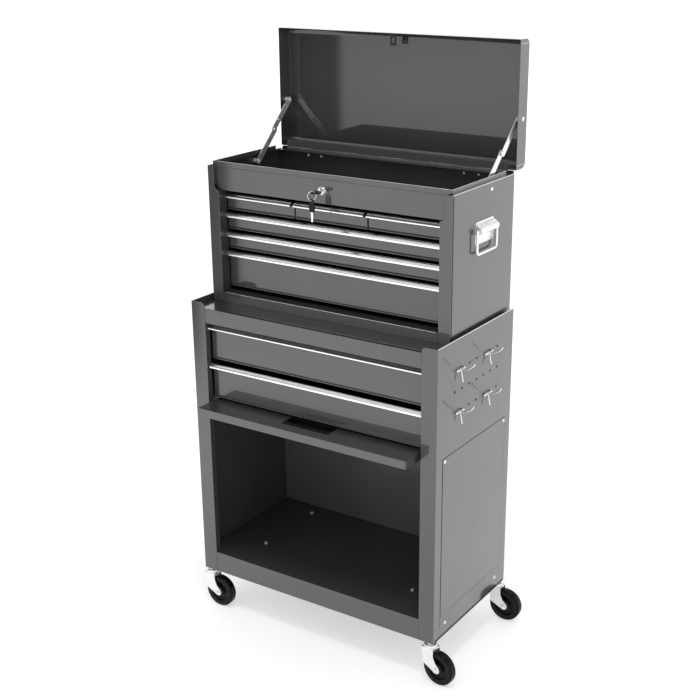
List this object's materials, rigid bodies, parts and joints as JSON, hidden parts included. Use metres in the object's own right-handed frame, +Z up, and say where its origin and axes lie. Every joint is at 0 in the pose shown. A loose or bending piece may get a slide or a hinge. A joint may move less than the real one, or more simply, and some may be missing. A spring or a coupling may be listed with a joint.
{
  "type": "rolling tool chest",
  "caption": "Rolling tool cabinet on swivel casters with a flip-up door and drawers, and a lidded drawer chest standing in its tray, lid open.",
  "frame": {"origin": "on the floor, under the middle of the object's bounding box at rest (lid open, door stowed)", "axes": "+Z up, +X to the right as seen from the front, +Y towards the back"},
  "size_m": [0.6715, 0.414, 1.2936],
  "materials": {
    "grey_paint": "semi-gloss dark grey powder coat",
    "dark_paint": "glossy dark grey powder coat",
    "zinc_steel": "bright zinc plate",
    "pull_aluminium": "satin anodised extrusion",
    "chrome": "polished",
    "black_plastic": "moulded black",
    "wheel_black": "matte black solid tread"
  },
  "bodies": {
    "body": {"cab_side_left": "grey_paint", "cab_side_right": "grey_paint", "cab_back": "grey_paint", "cab_floor": "grey_paint", "cab_tray": "dark_paint", "cab_rail_top": "grey_paint", "cab_side_panels": "grey_paint", "cab_door_tracks": "zinc_steel", "cab_runners": "zinc_steel", "caster_brackets": "grey_paint", "fasteners": "zinc_steel", "hooks": "zinc_steel", "caster_stems": "zinc_steel", "chest_side_left": "grey_paint", "chest_side_right": "grey_paint", "chest_back": "grey_paint", "chest_base": "grey_paint", "chest_fascia": "grey_paint", "chest_well": "dark_paint", "chest_shelf": "dark_paint", "chest_runners": "zinc_steel", "hinge_leaf_chest": "grey_paint", "handle_plates": "zinc_steel", "lock_barrel": "chrome"},
    "caster_fl": {"fork_fl": "zinc_steel"},
    "wheel_fl": {"wheel_fl": "wheel_black"},
    "caster_fr": {"fork_fr": "zinc_steel"},
    "wheel_fr": {"wheel_fr": "wheel_black"},
    "caster_rl": {"fork_rl": "zinc_steel"},
    "wheel_rl": {"wheel_rl": "wheel_black"},
    "caster_rr": {"fork_rr": "zinc_steel"},
    "wheel_rr": {"wheel_rr": "wheel_black"},
    "door_rod": {"door_rod": "zinc_steel"},
    "door": {"door_panel": "grey_paint", "door_pull": "black_plastic"},
    "cab_drawer_1": {"cab_drawer_1": "grey_paint", "cab_pull_1": "pull_aluminium"},
    "cab_drawer_2": {"cab_drawer_2": "grey_paint", "cab_pull_2": "pull_aluminium"},
    "drawer_1a": {"drawer_1a": "grey_paint", "pull_1a": "pull_aluminium"},
    "drawer_1b": {"drawer_1b": "grey_paint", "pull_1b": "pull_aluminium"},
    "drawer_1c": {"drawer_1c": "grey_paint", "pull_1c": "pull_aluminium"},
    "drawer_2": {"drawer_2": "grey_paint", "pull_2": "pull_aluminium"},
    "drawer_3": {"drawer_3": "grey_paint", "pull_3": "pull_aluminium"},
    "drawer_4": {"drawer_4": "grey_paint", "pull_4": "pull_aluminium"},
    "lid": {"lid_shell": "grey_paint", "lid_fittings": "grey_paint", "hinge_leaf_lid": "grey_paint"},
    "stay_lower": {"stay_lower": "zinc_steel"},
    "stay_upper": {"stay_upper": "zinc_steel"},
    "bail_right": {"bail_right": "zinc_steel"},
    "bail_left": {"bail_left": "zinc_steel"},
    "lock_key": {"lock_key": "black_plastic"},
    "key_ring": {"key_ring": "zinc_steel"}
  },
  "joints": [
    {"name": "swivel_fl", "type": "hinge", "parent": "body", "child": "caster_fl", "pos_m": [-0.31775, -0.15105, 0.08], "axis": [0, 0, 1], "continuous": true},
    {"name": "roll_fl", "type": "hinge", "parent": "caster_fl", "child": "wheel_fl", "pos_m": [-0.29275, -0.15105, 0.0375], "axis": [0, 1, 0], "continuous": true},
    {"name": "swivel_fr", "type": "hinge", "parent": "body", "child": "caster_fr", "pos_m": [0.27325, -0.15105, 0.08], "axis": [0, 0, 1], "continuous": true},
    {"name": "roll_fr", "type": "hinge", "parent": "caster_fr", "child": "wheel_fr", "pos_m": [0.29801, -0.15453, 0.0375], "axis": [0.1392, 0.9903, 0], "continuous": true},
    {"name": "swivel_rl", "type": "hinge", "parent": "body", "child": "caster_rl", "pos_m": [-0.31775, 0.15095, 0.08], "axis": [0, 0, 1], "continuous": true},
    {"name": "roll_rl", "type": "hinge", "parent": "caster_rl", "child": "wheel_rl", "pos_m": [-0.29275, 0.15095, 0.0375], "axis": [0, 1, 0], "continuous": true},
    {"name": "swivel_rr", "type": "hinge", "parent": "body", "child": "caster_rr", "pos_m": [0.27325, 0.15095, 0.08], "axis": [0, 0, 1], "continuous": true},
    {"name": "roll_rr", "type": "hinge", "parent": "caster_rr", "child": "wheel_rr", "pos_m": [0.29825, 0.15095, 0.0375], "axis": [0, 1, 0], "continuous": true},
    {"name": "door_slide", "type": "slide", "parent": "body", "child": "door_rod", "axis": [0, -1, 0], "range_m": [0, 0.289]},
    {"name": "door_swing", "type": "hinge", "parent": "door_rod", "child": "door", "pos_m": [-0.02225, 0.14795, 0.5086], "axis": [1, 0, 0], "range_deg": [0, 90]},
    {"name": "cab_drawer_1_slide", "type": "slide", "parent": "body", "child": "cab_drawer_1", "axis": [0, -1, 0], "range_m": [0, 0.22]},
    {"name": "cab_drawer_2_slide", "type": "slide", "parent": "body", "child": "cab_drawer_2", "axis": [0, -1, 0], "range_m": [0, 0.22]},
    {"name": "drawer_1a_slide", "type": "slide", "parent": "body", "child": "drawer_1a", "axis": [0, -1, 0], "range_m": [0, 0.125]},
    {"name": "drawer_1b_slide", "type": "slide", "parent": "body", "child": "drawer_1b", "axis": [0, -1, 0], "range_m": [0, 0.125]},
    {"name": "drawer_1c_slide", "type": "slide", "parent": "body", "child": "drawer_1c", "axis": [0, -1, 0], "range_m": [0, 0.125]},
    {"name": "drawer_2_slide", "type": "slide", "parent": "body", "child": "drawer_2", "axis": [0, -1, 0], "range_m": [0, 0.15]},
    {"name": "drawer_3_slide", "type": "slide", "parent": "body", "child": "drawer_3", "axis": [0, -1, 0], "range_m": [0, 0.15]},
    {"name": "drawer_4_slide", "type": "slide", "parent": "body", "child": "drawer_4", "axis": [0, -1, 0], "range_m": [0, 0.15]},
    {"name": "lid_hinge", "type": "hinge", "parent": "body", "child": "lid", "pos_m": [-0.02225, 0.16595, 1.0284], "axis": [1, 0, 0], "range_deg": [0, 90]},
    {"name": "stay_lower_pivot", "type": "hinge", "parent": "body", "child": "stay_lower", "pos_m": [-0.02225, 0.06195, 1.014], "axis": [1, 0, 0], "range_deg": [-27, 0]},
    {"name": "stay_upper_pivot", "type": "hinge", "parent": "lid", "child": "stay_upper", "pos_m": [-0.02225, 0.18795, 1.134], "axis": [1, 0, 0], "range_deg": [0, 41]},
    {"name": "bail_right_swing", "type": "hinge", "parent": "body", "child": "bail_right", "pos_m": [0.28375, 0.03195, 0.942], "axis": [0, -1, 0], "range_deg": [0, 100]},
    {"name": "bail_left_swing", "type": "hinge", "parent": "body", "child": "bail_left", "pos_m": [-0.32825, 0.03195, 0.942], "axis": [0, 1, 0], "range_deg": [0, 100]},
    {"name": "lock_turn", "type": "hinge", "parent": "body", "child": "lock_key", "pos_m": [-0.03125, -0.08655, 1.003], "axis": [0, 1, 0], "range_deg": [0, 90]},
    {"name": "keys_swing", "type": "hinge", "parent": "lock_key", "child": "key_ring", "pos_m": [-0.036, -0.11578, 1.003], "axis": [-0.866, 0.5, 0], "range_deg": [0, 110]}
  ],
  "couplings": [
    {"joint": "stay_lower_pivot", "follows": "lid_hinge", "ratio": -0.28822},
    {"joint": "stay_upper_pivot", "follows": "lid_hinge", "ratio": 0.44357},
    {"joint": "keys_swing", "follows": "drawer_1b_slide", "rad_per_m": 15.184}
  ]
}
